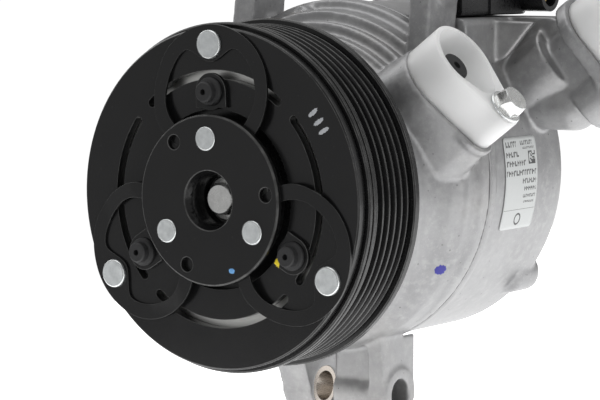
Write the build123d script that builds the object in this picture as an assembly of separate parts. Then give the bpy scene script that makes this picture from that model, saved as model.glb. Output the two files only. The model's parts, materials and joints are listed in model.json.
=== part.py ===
from build123d import *
import os
from math import cos, radians, sin

# Vane-rotary air-conditioning compressor with an electromagnetic clutch.
# Millimetres. +Y runs along the shaft from the clutch to the rear shell, +Z is up.
# The origin is on the shaft axis, in the middle plane of the belt grooves.

# ---------------------------------------------------------------- driving dimensions
# Clutch face, from the front backwards
HUB_FRONT = -23.1           # front face of the hub disc
HUB_DISC_T = 2.0
HUB_DISC_R = 28.0
ARMATURE_FRONT = -18.2      # front face of the armature plate
ARMATURE_T = 3.35
ARMATURE_R = 56.0
ARMATURE_HOLE_R = 29.5
AIR_GAP = 0.45              # plate to pulley when the coil is off
PATTERN_DEG = 92.5          # angle of the first rivet, from +X towards +Z
OUTER_RIVET_R = 50.5
INNER_RIVET_R = 20.15
SPRING_T = 0.9
SLOT_IN_R = 39.4            # magnetic break slots in the armature plate
SLOT_OUT_R = 42.2
STOPPER_R = 35.2            # rubber stoppers' distance from the axis
HUB_HOLE_R = 23.2
HUB_HOLE_LEAD_DEG = 35.0    # puller holes sit this far round from the rivets

# Pulley, six-ridge (five-groove) belt section
GROOVE_PITCH = 3.56
GROOVE_COUNT = 5
GROOVE_DEPTH = 3.0
RIDGE_R = 56.6
FRONT_FLANGE_R = 57.55
REAR_FLANGE_R = 58.3
PULLEY_FRONT = ARMATURE_FRONT + ARMATURE_T + AIR_GAP
PULLEY_REAR = 14.1

# Pulley bearing, 30 x 52 x 19
BEARING_IN_R = 15.0
BEARING_OUT_R = 26.0
BEARING_FRONT = -8.3
BEARING_W = 19.0
BALL_R = 3.2
BALL_PITCH_R = 20.5
BALL_COUNT = 14

# Castings
HEAD_FRONT = 15.2           # head's front face, behind the pulley
SEAM_Y = 54.0               # head's rear face
GASKET_T = 0.5
SHELL_REAR = 106.5
SHELL_Z = 4.0               # the shell's centre lies above the shaft
SHELL_R = 59.0
FLANGE_R = 60.0
SHELL_CAVITY_R = 54.0
SHELL_FLOOR_Y = 102.5
BOLT_CIRCLE_R = 54.5
BOLT_FIRST_DEG = -42.0
BOLT_COUNT = 5

# Engine mounting: two long bolts run along X, above and below the body
MOUNT_Y = 52.0
MOUNT_Z = 71.5
MOUNT_BORE_R = 5.25
MOUNT_RING_R = 9.0
UPPER_FACE_X = 43.0
UPPER_LEFT_X = -38.0
LOWER_FACE_X = 25.0
LOWER_LEFT_X = -18.0
UPPER_LUG_T = 9.0
LOWER_LUG_T = 12.0
BUSHING_OUT_R = 7.0

# Refrigerant ports, both facing up and to the right
PORT_DEG = 37.0
SUCTION_FACE = 62.0         # distance of the port face from the shaft axis
SUCTION_AT = (36.4, 0.0)    # port centre along Y and up the face
SUCTION_BOLT = (4.5, -20.3)  # bolt from the port centre
DISCHARGE_FACE = 93.0
DISCHARGE_AT = (94.5, -4.5)
DISCHARGE_BOLT = (-2.0, -19.5)
PORT_PAD_T = 5.0
PORT_NECK_H = 10.0
PAD_LIP = 2.0               # the discharge pad is this much wider than its cap
BOLT_BOSS_R = 9.4
FOOT_R = 8.5
FOOT_Z = 27.5
CAP_DEPTH = 14.0
CAP_R = 13.2
CAP_BOLT_END_R = 6.5
CAP_WALL = 1.7
CAP_BOLT_R = 2.95
CAP_HOLE_R = 3.3
TAPPED_R = 3.0
PORT_BORE_R = 6.5           # pilot for the pipe's end, 13 deep
PORT_BORE_DEPTH = 13.0
PASSAGE_R = 5.0             # gas passage behind the pilot

# Sticker on the shell
LABEL_Y = 65.0
LABEL_W = 21.0
LABEL_Z = -14.2
LABEL_H = 31.7

# Pump
BLOCK_R = 44.0
ROTOR_R = 28.5
BORE_MINOR_R = 29.0
BORE_MAJOR_R = 33.5
FRONT_BLOCK_Y = 55.5
CYLINDER_Y = 63.5
REAR_BLOCK_Y = 91.5
REAR_BLOCK_END = 98.5
SHAFT_R = 7.95
SHAFT_NOSE_R = 5.5
SHAFT_SHOULDER = -1.5
VANE_COUNT = 5
VANE_T = 4.0
VANE_H = 15.0

os.makedirs("parts", exist_ok=True)


# ---------------------------------------------------------------- helpers
def ycyl(r, y0, y1, x=0.0, z=0.0):
    """Cylinder along Y."""
    return Pos(x, (y0 + y1) / 2, z) * Rot(90, 0, 0) * Cylinder(r, y1 - y0)


def yring(r_out, r_in, y0, y1, x=0.0, z=0.0):
    return ycyl(r_out, y0, y1, x, z) - ycyl(r_in, y0 - 1, y1 + 1, x, z)


def xcyl(r, x0, x1, y, z):
    """Cylinder along X."""
    return Pos((x0 + x1) / 2, y, z) * Rot(0, 90, 0) * Cylinder(r, x1 - x0)


def block(x0, x1, y0, y1, z0, z1):
    return Pos((x0 + x1) / 2, (y0 + y1) / 2, (z0 + z1) / 2) * Box(x1 - x0, y1 - y0, z1 - z0)


def face_prism(sketch, y0, y1):
    """Solid from a sketch drawn in X and Z, between two Y planes."""
    return extrude(Plane.XZ.offset(-y1) * sketch, y1 - y0)


def turned(points):
    """Solid of revolution about Y from (radius, y) points."""
    return revolve(make_face(Polyline(*points, close=True)), Axis.Y)


def around(part, count, first=0.0):
    """Copies of a part turned about the shaft axis, the first at `first` degrees from +X."""
    return [Rot(0, -(first + i * 360 / count), 0) * part for i in range(count)]


def at_angle(part, deg):
    return Rot(0, -deg, 0) * part


def polar(r, deg):
    return (r * cos(radians(deg)), r * sin(radians(deg)))


def hex_prism(across_flats, height):
    return extrude(RegularPolygon(across_flats / 2, 6, major_radius=False), height)


class Port:
    """A refrigerant port: its face's distance, centre and bolt, in planes square to the port axis."""

    normal = Vector(cos(radians(PORT_DEG)), 0, sin(radians(PORT_DEG)))

    def __init__(self, face, centre, bolt):
        self.face = face
        self.centre = centre
        self.bolt = bolt

    def plane(self, height=0.0):
        """Plane at a height over the port face: local x is +Y, local y is up the face."""
        flat = Plane(origin=self.normal * (self.face + height), x_dir=(0, 1, 0), z_dir=self.normal)
        return flat * Pos(self.centre[0], self.centre[1])

    def bolt_at(self, height=0.0):
        return self.plane(height) * Pos(self.bolt[0], self.bolt[1])

    def prism(self, sketch, low, high, taper=0.0):
        """Solid from a sketch about the port centre, between two heights over the face."""
        return extrude(self.plane(low) * sketch, high - low, taper=taper)

    def pear(self, r_port, r_bolt):
        """Outline round the port and its bolt."""
        ends = Circle(r_port) + Pos(self.bolt[0], self.bolt[1]) * Circle(r_bolt)
        return make_hull(ends.edges())


SUCTION = Port(SUCTION_FACE, SUCTION_AT, SUCTION_BOLT)
DISCHARGE = Port(DISCHARGE_FACE, DISCHARGE_AT, DISCHARGE_BOLT)


def write(name, *solids):
    """One STEP file per sub-part."""
    shape = solids[0] if len(solids) == 1 else Compound(label=name, children=list(solids))
    shape.label = name
    export_step(shape, f"parts/{name}.step")


# ---------------------------------------------------------------- armature plate
def arc_slot(r_in, r_out, mid_deg, half_deg):
    """Round-ended slot along a circle, as a sketch in X and Z."""
    mid_r = (r_in + r_out) / 2
    start = mid_deg - half_deg
    path = CenterArc((0, 0), mid_r, start, 2 * half_deg)
    return SlotArc(path, r_out - r_in)


def armature_plate():
    disc = Circle(ARMATURE_R) - Circle(ARMATURE_HOLE_R)
    for quarter in range(4):
        disc -= arc_slot(SLOT_IN_R, SLOT_OUT_R, PATTERN_DEG + 90 * quarter, 39.0)
    plate = face_prism(disc, ARMATURE_FRONT, ARMATURE_FRONT + ARMATURE_T)
    front_rim = plate.edges().filter_by(GeomType.CIRCLE).group_by(Axis.Y)[0].sort_by(SortBy.RADIUS)[-1]
    plate = chamfer(front_rim, 0.5)
    holes = around(ycyl(2.5, -30, 0, OUTER_RIVET_R), 3, PATTERN_DEG)
    return plate - holes


TAB_T = 1.5
STEM_R = 2.0                # stem of the rubber stopper, through the tab


def stopper_tab():
    """Round-ended steel tab welded to the plate at the inner hole's edge, at angle 0."""
    half_w = 6.1
    outline = Pos(STOPPER_R, 0) * Circle(half_w)
    outline += Pos((29.9 + STOPPER_R) / 2, 0) * Rectangle(STOPPER_R - 29.9, 2 * half_w)
    tab = face_prism(outline, ARMATURE_FRONT - TAB_T, ARMATURE_FRONT)
    return tab - ycyl(STEM_R, ARMATURE_FRONT - TAB_T - 1, ARMATURE_FRONT + 1, STOPPER_R)


def rubber_stopper():
    """Tapered rubber button on the tab, with a moulded stem and a blind dimple."""
    base = ARMATURE_FRONT - TAB_T
    tip = base - 4.1
    profile = [(0, tip), (2.9, tip), (3.35, tip + 0.5), (3.5, base - 1.6), (4.3, base - 1.3),
               (4.7, base - 0.7), (4.7, base), (STEM_R, base), (STEM_R, ARMATURE_FRONT), (0, ARMATURE_FRONT)]
    button = turned(profile) - ycyl(1.0, tip - 1, tip + 1.8)
    return Pos(STOPPER_R, 0, 0) * button


# ---------------------------------------------------------------- leaf springs
SPRING_HALF_W = 22.9        # across the loop, from the rivets' line
SPRING_BAND = 4.7
SPRING_OUT_FLAT = 43.0      # outside this radius the spring lies on the plate
SPRING_IN_FLAT = 27.0       # inside this radius it lies against the hub disc


def spring_outline():
    """Loop with an ear at each rivet, as a sketch with the radial direction along +X."""
    half = SPRING_HALF_W
    outer = [(57.0, 0), (55.6, 8.0), (49.6, 17.4), (40.0, 22.3), (32.0, half), (25.5, 21.2),
             (18.5, 14.5), (15.2, 7.0), (14.6, 0)]
    mirrored = [(x, -y) for x, y in reversed(outer[1:-1])]
    loop = make_face(Spline(*outer, *mirrored, periodic=True))
    inner_half = half - SPRING_BAND
    opening = [(44.8, 0), (47.3, 5.6), (48.9, 9.6), (45.8, 14.0), (38.6, 17.6), (31.8, inner_half),
               (27.0, 16.2), (22.6, 11.0), (23.2, 6.2), (26.2, 0)]
    inner_mirrored = [(x, -y) for x, y in reversed(opening[1:-1])]
    hole = make_face(Spline(*opening, *inner_mirrored, periodic=True))
    return loop - hole


def spring_sheet():
    """Side view of the bent strip, wide enough to cut the loop from."""
    low_out = ARMATURE_FRONT - SPRING_T
    low_in = HUB_FRONT + HUB_DISC_T
    side = [(SPRING_IN_FLAT - 15, low_in), (SPRING_IN_FLAT, low_in), (SPRING_OUT_FLAT, low_out),
            (SPRING_OUT_FLAT + 16, low_out), (SPRING_OUT_FLAT + 16, low_out + SPRING_T),
            (SPRING_OUT_FLAT, low_out + SPRING_T), (SPRING_IN_FLAT, low_in + SPRING_T),
            (SPRING_IN_FLAT - 15, low_in + SPRING_T)]
    return extrude(make_face(Polyline(*side, close=True)), 30, both=True)


def leaf_spring():
    loop = face_prism(spring_outline(), -30, -10) & spring_sheet()
    return loop - ycyl(2.5, -30, 0, OUTER_RIVET_R) - ycyl(2.25, -30, 0, INNER_RIVET_R)


def outer_rivet():
    head_back = ARMATURE_FRONT - SPRING_T
    head = Pos(OUTER_RIVET_R, 0, 0) * turned([(0, head_back - 1.2), (4.4, head_back - 1.2),
                                             (4.75, head_back - 0.8), (4.75, head_back), (0, head_back)])
    return head + ycyl(2.45, head_back, ARMATURE_FRONT + ARMATURE_T - 0.15, OUTER_RIVET_R)


def inner_rivet():
    head = Pos(INNER_RIVET_R, 0, 0) * turned([(0, HUB_FRONT - 0.7), (3.6, HUB_FRONT - 0.7),
                                             (3.95, HUB_FRONT - 0.35), (3.95, HUB_FRONT), (0, HUB_FRONT)])
    spring_back = HUB_FRONT + HUB_DISC_T + SPRING_T
    shank = ycyl(2.25, HUB_FRONT, spring_back, INNER_RIVET_R)
    return head + shank + ycyl(3.9, spring_back, spring_back + 0.9, INNER_RIVET_R)


# ---------------------------------------------------------------- hub, bolt and shims
BOLT_SEAT = -11.7           # shoulder inside the hub that the washer bears on
BOLT_HEAD_H = 4.2
WASHER_T = 1.4


def clutch_hub():
    disc_back = HUB_FRONT + HUB_DISC_T
    profile = [(9.8, HUB_FRONT), (HUB_DISC_R - 0.4, HUB_FRONT), (HUB_DISC_R, HUB_FRONT + 0.4),
               (HUB_DISC_R, disc_back), (13.0, disc_back), (13.0, -10.8), (9.6, -10.8), (9.6, -2.0),
               (SHAFT_NOSE_R, -2.0), (SHAFT_NOSE_R, BOLT_SEAT), (8.2, BOLT_SEAT), (8.2, -20.2),
               (9.4, -22.2)]
    hub = turned(profile)
    hub -= around(ycyl(2.25, -30, -15, INNER_RIVET_R), 3, PATTERN_DEG)
    return hub - around(ycyl(2.4, -30, -15, HUB_HOLE_R), 3, PATTERN_DEG + HUB_HOLE_LEAD_DEG)


def hub_bolt():
    head_back = BOLT_SEAT - WASHER_T
    head_front = head_back - BOLT_HEAD_H
    head = Pos(0, head_front, 0) * Rot(-90, 0, 0) * hex_prism(10.0, BOLT_HEAD_H)
    rounding = turned([(0, head_front), (4.6, head_front), (5.9, head_front + 1.0), (5.9, head_back),
                       (0, head_back)])
    return (head & rounding) + ycyl(3.0, head_back, 6.0)


# ---------------------------------------------------------------- pulley
def groove_rim_points():
    """Outer profile of the rim from front to rear as (radius, y)."""
    half_span = GROOVE_COUNT * GROOVE_PITCH / 2
    crest = 0.35
    points = [(FRONT_FLANGE_R - 0.5, PULLEY_FRONT), (FRONT_FLANGE_R, PULLEY_FRONT + 0.5),
              (FRONT_FLANGE_R, PULLEY_FRONT + 1.4), (56.9, PULLEY_FRONT + 1.6), (56.9, PULLEY_FRONT + 2.3),
              (FRONT_FLANGE_R, PULLEY_FRONT + 2.5), (FRONT_FLANGE_R, -half_span - 1.9),
              (RIDGE_R - 2.2, -half_span - 1.4)]
    for ridge in range(GROOVE_COUNT + 1):
        y = -half_span + ridge * GROOVE_PITCH
        points += [(RIDGE_R, y - crest), (RIDGE_R, y + crest)]
        if ridge < GROOVE_COUNT:
            bottom = y + GROOVE_PITCH / 2
            points += [(RIDGE_R - GROOVE_DEPTH, bottom - 0.35), (RIDGE_R - GROOVE_DEPTH, bottom + 0.35)]
    points += [(RIDGE_R - 2.2, half_span + 1.0), (REAR_FLANGE_R - 0.4, half_span + 1.4),
               (REAR_FLANGE_R, half_span + 1.9), (REAR_FLANGE_R, PULLEY_REAR - 1.2),
               (REAR_FLANGE_R - 1.2, PULLEY_REAR)]
    return points


def pulley():
    web_back = PULLEY_FRONT + 5.0
    inside = [(50.0, PULLEY_REAR), (50.0, web_back), (29.0, web_back), (29.0, 13.0), (BEARING_OUT_R, 13.0),
              (BEARING_OUT_R, BEARING_FRONT), (24.2, BEARING_FRONT), (24.2, PULLEY_FRONT)]
    body = turned(groove_rim_points() + inside)
    snap_groove = yring(27.2, 25, BEARING_FRONT + BEARING_W, BEARING_FRONT + BEARING_W + 1.2)
    body -= snap_groove
    for ring_r, count, half in ((34.0, 4, 36.0), (47.6, 6, 22.0)):
        for i in range(count):
            slot = arc_slot(ring_r - 1.3, ring_r + 1.3, PATTERN_DEG + 30 + i * 360 / count, half)
            body -= face_prism(slot, PULLEY_FRONT - 1, web_back + 1)
    return body


def snap_ring(r_out, r_in, y0, y1, gap_deg=25.0):
    """Open ring with its gap at the bottom."""
    ring = yring(r_out, r_in, y0, y1)
    gap = block(-r_out * sin(radians(gap_deg / 2)), r_out * sin(radians(gap_deg / 2)), y0 - 1, y1 + 1,
                -r_out - 1, -r_in + 1)
    return ring - gap


# ---------------------------------------------------------------- field coil
COIL_FRONT = -7.8
COIL_FLOOR_T = 3.0
COIL_SCREW_R = 23.6
COIL_SCREW_COUNT = 3


def coil_housing():
    """Steel cup open to the front, with a thin flange inwards that is screwed to the head."""
    cup = yring(49.2, 30.0, COIL_FRONT, HEAD_FRONT)
    cup -= yring(46.4, 32.6, COIL_FRONT - 1, HEAD_FRONT - COIL_FLOOR_T)
    cup += yring(30.5, 18.9, HEAD_FRONT - 1.8, HEAD_FRONT)
    return cup - around(coil_screw(0.05), COIL_SCREW_COUNT, PATTERN_DEG)


def coil_winding():
    return yring(46.4, 32.6, COIL_FRONT + 2, HEAD_FRONT - COIL_FLOOR_T)


def coil_screw(extra=0.0):
    """Countersunk screw, flush with the coil's flange."""
    top = HEAD_FRONT - 1.8
    screw = turned([(0, top), (3.6 + extra, top), (1.95 + extra, top + 1.7), (1.95 + extra, top + 9),
                    (0, top + 9)])
    return Pos(COIL_SCREW_R, 0, 0) * screw


# ---------------------------------------------------------------- front head
def port_bores(port, depth):
    """Pilot bore, the gas passage behind it and the tapped hole beside them."""
    tapped = extrude(port.bolt_at(-15) * Circle(TAPPED_R), 16)
    passage = port.prism(Circle(PASSAGE_R), -depth, -PORT_BORE_DEPTH)
    return port.prism(Circle(PORT_BORE_R), -PORT_BORE_DEPTH, 1) + passage + tapped


def lug(x0, x1, z_root, z_pin, y_root, y_half=9.5):
    """Plate across X that reaches from the body to a mounting bolt, with a round end."""
    side = 1 if z_pin > 0 else -1
    root_z = z_root * side
    outline = [(y_root[0], root_z), (y_root[1], root_z), (MOUNT_Y + y_half, z_pin), (MOUNT_Y - y_half, z_pin)]
    plate = extrude(Plane.YZ.offset(x0) * make_face(Polyline(*outline, close=True)), x1 - x0)
    return plate + xcyl(y_half, x0, x1, MOUNT_Y, z_pin)


def front_head():
    shoulder_y = BEARING_FRONT + BEARING_W
    body = turned([(0, -10.2), (BEARING_IN_R, -10.2), (BEARING_IN_R, shoulder_y), (18.5, shoulder_y),
                   (18.5, HEAD_FRONT), (49.4, HEAD_FRONT), (50.0, HEAD_FRONT + 0.6), (50.5, 30.0),
                   (52.0, 34.0), (55.0, 37.5), (56.5, 41.0), (56.5, SEAM_Y), (0, SEAM_Y)])
    shoulder = ycyl(58.0, 43.0, SEAM_Y, 0, 2.5)
    flange = chamfer(ycyl(FLANGE_R, 48.5, SEAM_Y, 0, SHELL_Z).edges().group_by(Axis.Y)[0], 0.8)
    body += shoulder + flange
    # ribs over the top, concentric with the shaft
    for r, y0, y1 in ((53.2, 30.5, 34.0), (56.8, 35.5, 39.0), (60.2, 41.0, 45.0)):
        rib = yring(r, 48.0, y0, y1)
        body += rib & block(-32, UPPER_FACE_X - 6, y0, y1, 25, 70)
    pedestal = [SUCTION.plane(-26) * SUCTION.pear(CAP_R + 3.0, 10.5),
                SUCTION.plane(0) * SUCTION.pear(CAP_R + 0.6, 7.1)]
    body += loft(pedestal) & block(0, 100, HEAD_FRONT + 1.5, SEAM_Y - 0.5, -40, 80)
    body += SUCTION.prism(SUCTION.pear(CAP_R - 1.5, 8.2), -2.5, 0)
    # mounting lugs and feet, cut clear of the cap's place
    body += lug(UPPER_FACE_X - 8.0, UPPER_FACE_X, 30, MOUNT_Z, (38.0, SEAM_Y))
    body += lug(UPPER_LEFT_X, UPPER_LEFT_X + UPPER_LUG_T, 30, MOUNT_Z, (36.0, SEAM_Y))
    body += lug(LOWER_FACE_X - 6.5, LOWER_FACE_X, 40, -MOUNT_Z, (40.0, MOUNT_Y + 9.5))
    body += lug(LOWER_LEFT_X, LOWER_LEFT_X + LOWER_LUG_T, 40, -MOUNT_Z, (30.0, SEAM_Y))
    body += lug(3.0, LOWER_FACE_X - 6.5, 40, -MOUNT_Z, (44.0, SEAM_Y), 7.5)
    body += xcyl(MOUNT_RING_R, 3.0, LOWER_FACE_X + 0.6, MOUNT_Y, -MOUNT_Z)
    body += xcyl(MOUNT_RING_R, UPPER_FACE_X - 10.0, UPPER_FACE_X + 0.6, MOUNT_Y, MOUNT_Z)
    body -= SUCTION.prism(SUCTION.pear(CAP_R + 0.6, 7.4), 0, CAP_DEPTH + 10)
    # shaft seal bore, suction chamber and bearing nose bore
    body -= ycyl(11.0, -12, 14.5)
    body -= ycyl(16.0, 14.4, 34.0)
    body -= ycyl(10.0, 33, 40.0)
    body -= ycyl(46.0, 39.0, SEAM_Y + 1)
    body -= yring(BEARING_IN_R + 1, 14.1, BEARING_FRONT - 1.3, BEARING_FRONT)
    # the lugs stand clear of the shell behind the seam
    body -= ycyl(FLANGE_R + 0.5, SEAM_Y, SEAM_Y + 20, 0, SHELL_Z)
    body -= port_bores(SUCTION, 34.0)
    body -= xcyl(MOUNT_BORE_R, 0, 60, MOUNT_Y, MOUNT_Z)
    body -= xcyl(MOUNT_BORE_R, 0, 40, MOUNT_Y, -MOUNT_Z)
    body -= xcyl(BUSHING_OUT_R, -50, -20, MOUNT_Y, MOUNT_Z)
    body -= xcyl(BUSHING_OUT_R, -20, 0, MOUNT_Y, -MOUNT_Z)
    body -= around(coil_screw(0.05), COIL_SCREW_COUNT, PATTERN_DEG)
    return body - shell_bolt_holes(SEAM_Y - 10, SEAM_Y + 1, 3.0)


def bolt_angles():
    return [BOLT_FIRST_DEG + i * 360 / BOLT_COUNT for i in range(BOLT_COUNT)]


# ---------------------------------------------------------------- rear shell
def shell_cavity(y0, y1):
    """Round chamber with a solid rib left for each through bolt."""
    cavity = ycyl(SHELL_CAVITY_R, y0, y1, 0, SHELL_Z)
    for deg in bolt_angles():
        x, z = polar(BOLT_CIRCLE_R, deg)
        cavity -= ycyl(5.8, y0 - 1, y1 + 1, x, z + SHELL_Z)
    return cavity


def shell_bolt_holes(y0, y1, r):
    holes = []
    for deg in bolt_angles():
        x, z = polar(BOLT_CIRCLE_R, deg)
        holes.append(ycyl(r, y0, y1, x, z + SHELL_Z))
    return holes


BOSS_END = SHELL_REAR + 1.5
RELIEF_AT = (-20.0, 24.0)
RELIEF_R = 5.95
RELIEF_HEAD_H = 8.0
CAP_SCREW_HEAD_H = 6.0


def bolt_bosses(y0, y1):
    """Bosses round the through bolts' counterbores, standing a little proud of the shell."""
    bosses = []
    for deg in bolt_angles():
        x, z = polar(BOLT_CIRCLE_R + 0.5, deg)
        boss = ycyl(7.0, max(y0, 95.0), y1, x, z + SHELL_Z)
        bosses.append(fillet(boss.edges().filter_by(GeomType.CIRCLE), 1.2))
    return bosses


def discharge_tower():
    """Tall boss that carries the discharge port, waisted below its pad, with a foot under the bolt."""
    waist = -PORT_PAD_T - PORT_NECK_H
    tower = DISCHARGE.prism(Circle(CAP_R + 0.3), -50, waist)
    tower += DISCHARGE.prism(DISCHARGE.pear(8.8, 7.0), waist - 1, 0)
    tower += DISCHARGE.prism(DISCHARGE.pear(CAP_R + PAD_LIP, BOLT_BOSS_R), -PORT_PAD_T, 0)
    tower += extrude(DISCHARGE.bolt_at(-16) * Circle(BOLT_BOSS_R), 16)
    foot_y = DISCHARGE_AT[0] + DISCHARGE_BOLT[0]
    foot = xcyl(FOOT_R, 40.0, 70.0, foot_y, FOOT_Z) + Pos(70.0, foot_y, FOOT_Z) * Sphere(FOOT_R)
    return tower + foot


def seam_gasket():
    ring = ycyl(FLANGE_R - 0.15, SEAM_Y, SEAM_Y + GASKET_T, 0, SHELL_Z)
    ring -= shell_cavity(SEAM_Y - 1, SEAM_Y + 2)
    return ring - shell_bolt_holes(SEAM_Y - 1, SEAM_Y + 2, 3.3)


def rear_shell():
    front = SEAM_Y + GASKET_T
    outer = ycyl(SHELL_R, front, SHELL_REAR, 0, SHELL_Z)
    outer = fillet(outer.edges().filter_by(GeomType.CIRCLE).group_by(Axis.Y)[-1], 5.0)
    outer += ycyl(FLANGE_R, front, front + 3.5, 0, SHELL_Z)
    outer += bolt_bosses(60.0, BOSS_END)
    outer += discharge_tower()
    outer += deck()
    outer -= shell_cavity(SEAM_Y - 1, SHELL_FLOOR_Y) - bolt_bosses(SHELL_FLOOR_Y - 3, BOSS_END)
    outer -= shell_bolt_holes(SEAM_Y - 2, SHELL_REAR + 3, 3.3)
    outer -= shell_bolt_holes(BOSS_END - CAP_SCREW_HEAD_H - 0.5, BOSS_END + 1, 5.4)
    outer -= port_bores(DISCHARGE, 60.0)
    outer -= ycyl(RELIEF_R + 0.05, SHELL_FLOOR_Y - 1, SHELL_REAR + 1, *RELIEF_AT)
    return outer


def deck():
    """Raised seat for the wiring connector, with a web and a gusset towards the discharge tower."""
    top = block(14, 46, 60, 104, 36, DECK_TOP)
    top = fillet(top.edges().filter_by(Axis.Y).sort_by(Axis.Z)[-2:], 3.0)
    web = block(40, 66, 90, 106, 34, DECK_TOP)
    web = fillet(web.edges().filter_by(Axis.Y).sort_by(Axis.Z)[-2:].sort_by(Axis.X)[-1], 5.0)
    side = [(40, DECK_TOP - 0.8), (61, 56.5), (50, 44), (40, 40)]
    return top + web + face_prism(make_face(Polyline(*side, close=True)), 79, 82)


# ---------------------------------------------------------------- port caps, plugs and valves
def port_cap(port):
    """Transport cap: a pear-shaped cup open outwards, solid at its bolt."""
    body = port.prism(port.pear(CAP_R, CAP_BOLT_END_R), 0, CAP_DEPTH)
    rims = body.faces().sort_by(Axis((0, 0, 0), tuple(port.normal)))
    body = fillet(rims[-1].edges(), 0.7)
    pocket_end = Pos(port.bolt[0] * 0.32, port.bolt[1] * 0.42) * Circle(6.0)
    pocket = make_hull((Circle(CAP_R - CAP_WALL) + pocket_end).edges())
    body -= port.prism(pocket, 1.6, CAP_DEPTH + 1)
    body -= port.prism(Circle(PORT_BORE_R), -1, 3)
    return body - extrude(port.bolt_at(-1) * Circle(CAP_HOLE_R), CAP_DEPTH + 2)


def port_plug(port):
    """Rubber plug pressed in the port, with a stub and a blind hole."""
    stem = port.prism(Circle(PORT_BORE_R - 0.05), -8, 1.6)
    stub = port.prism(Circle(4.9), 1.6, 10)
    stub = fillet(stub.edges().filter_by(GeomType.CIRCLE), 0.8)
    return stem + stub - port.prism(Circle(1.4), 5, 11)


def cap_bolt(port):
    """Hexagon flange bolt M6."""
    flange_t = 1.2
    head_h = 4.6
    flange = extrude(port.bolt_at(CAP_DEPTH) * Circle(6.2), flange_t)
    flange = chamfer(flange.edges().filter_by(GeomType.CIRCLE), 0.4)
    base = port.bolt_at(CAP_DEPTH + flange_t)
    head = extrude(base * RegularPolygon(4.4, 6, major_radius=False), head_h)
    round_top = extrude(base * Circle(5.2), head_h, taper=9)
    shank = extrude(port.bolt_at(-13.5) * Circle(CAP_BOLT_R), CAP_DEPTH + 13.5)
    return flange + (head & round_top) + shank


def check_valve():
    """Suction check valve: a seat ring with a poppet behind it in the suction bore."""
    back = -PORT_BORE_DEPTH - 3.0
    seat = SUCTION.prism(Circle(PASSAGE_R - 0.02) - Circle(3.2), back, -PORT_BORE_DEPTH)
    poppet = SUCTION.prism(Circle(4.6), back - 4.0, back - 0.1)
    return seat, poppet


# ---------------------------------------------------------------- wiring connector
DECK_TOP = 57.9
CONNECTOR_Z = 58.4
SOCKET_Y = 104.5
SOCKET_Z = 65.6
SOCKET_END_X = 53.0


def connector_body():
    """Long plastic wire box on the deck, with a round socket at its rear end."""
    box = block(22, 43, 62.3, SOCKET_Y, CONNECTOR_Z, CONNECTOR_Z + 12.2)
    box = fillet(box.edges().filter_by(Axis.Y), 1.6)
    box += block(25, 43.6, 80.0, SOCKET_Y - 3, CONNECTOR_Z + 0.5, CONNECTOR_Z + 11.4)
    box += xcyl(6.2, 30, SOCKET_END_X, SOCKET_Y, SOCKET_Z)
    return box - xcyl(4.4, 41.0, SOCKET_END_X + 1, SOCKET_Y, SOCKET_Z)


def connector_pins():
    return [xcyl(0.8, 41.0, SOCKET_END_X - 2.0, SOCKET_Y, SOCKET_Z + side) for side in (-1.8, 1.8)]


# ---------------------------------------------------------------- pump
BLOCK_BOLT_R = 39.0
BLOCK_BOLT_DEG = (38.0, 142.0, 218.0, 322.0)
REED_DEG = (80.0, 260.0)
REED_FLAT = 40.2            # flat that the reeds lie on, from the axis
REED_T = 0.4
REED_Y = (70.0, 87.0)
REED_HALF_W = 6.0
REED_SCREW_Y = 77.5
REED_STOP_T = 1.4


def oval_bore():
    """Two-lobed chamber, its narrow way along Z."""
    return Ellipse(BORE_MAJOR_R, BORE_MINOR_R)


def block_bolt_holes(y0, y1, r=2.6):
    return [at_angle(ycyl(r, y0, y1, BLOCK_BOLT_R), deg) for deg in BLOCK_BOLT_DEG]


def reed_seat(deg):
    """Pocket in the cylinder's side for a discharge reed."""
    return at_angle(block(REED_FLAT, 50, CYLINDER_Y + 4, REAR_BLOCK_Y - 4, -8, 8), deg)


def cylinder_block():
    body = face_prism(Circle(BLOCK_R) - oval_bore(), CYLINDER_Y, REAR_BLOCK_Y)
    body -= block_bolt_holes(CYLINDER_Y - 1, REAR_BLOCK_Y + 1)
    for deg in REED_DEG:
        body -= reed_seat(deg)
        for y in (72.0, 83.0):
            body -= at_angle(xcyl(1.8, 20, 45, y, 0), deg)
    return body


def side_block(y0, y1, bearing_r):
    disc = ycyl(BLOCK_R, y0, y1) - ycyl(bearing_r, y0 - 1, y1 + 1)
    disc -= block_bolt_holes(y0 - 1, y1 + 1)
    for deg in (20.0, 200.0):
        disc -= at_angle(ycyl(3.0, y0 - 1, y1 + 1, 31.2), deg)
    return disc


def rotor():
    y0 = CYLINDER_Y + 0.05
    y1 = REAR_BLOCK_Y - 0.05
    body = yring(ROTOR_R, SHAFT_R, y0, y1)
    slot = block(ROTOR_R - VANE_H - 5.0, ROTOR_R + 2, y0 - 1, y1 + 1, -VANE_T / 2 - 0.05, VANE_T / 2 + 0.05)
    return body - around(slot, VANE_COUNT, 90)


def vane():
    y0 = CYLINDER_Y + 0.1
    y1 = REAR_BLOCK_Y - 0.1
    return block(ROTOR_R - VANE_H, ROTOR_R - 0.1, y0, y1, -VANE_T / 2, VANE_T / 2)


def shaft():
    body = turned([(0, -10.9), (5.0, -10.9), (SHAFT_NOSE_R, -10.4), (SHAFT_NOSE_R, SHAFT_SHOULDER),
                   (SHAFT_R, SHAFT_SHOULDER), (SHAFT_R, 97.5), (0, 97.5)])
    return body - ycyl(3.0, -12, 10)


def needle_bearing(y0, y1):
    cup = yring(11.5, 10.05, y0, y1)
    needle = ycyl(0.95, y0 + 0.5, y1 - 0.5, 9.05)
    return cup, around(needle, 16)


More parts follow.
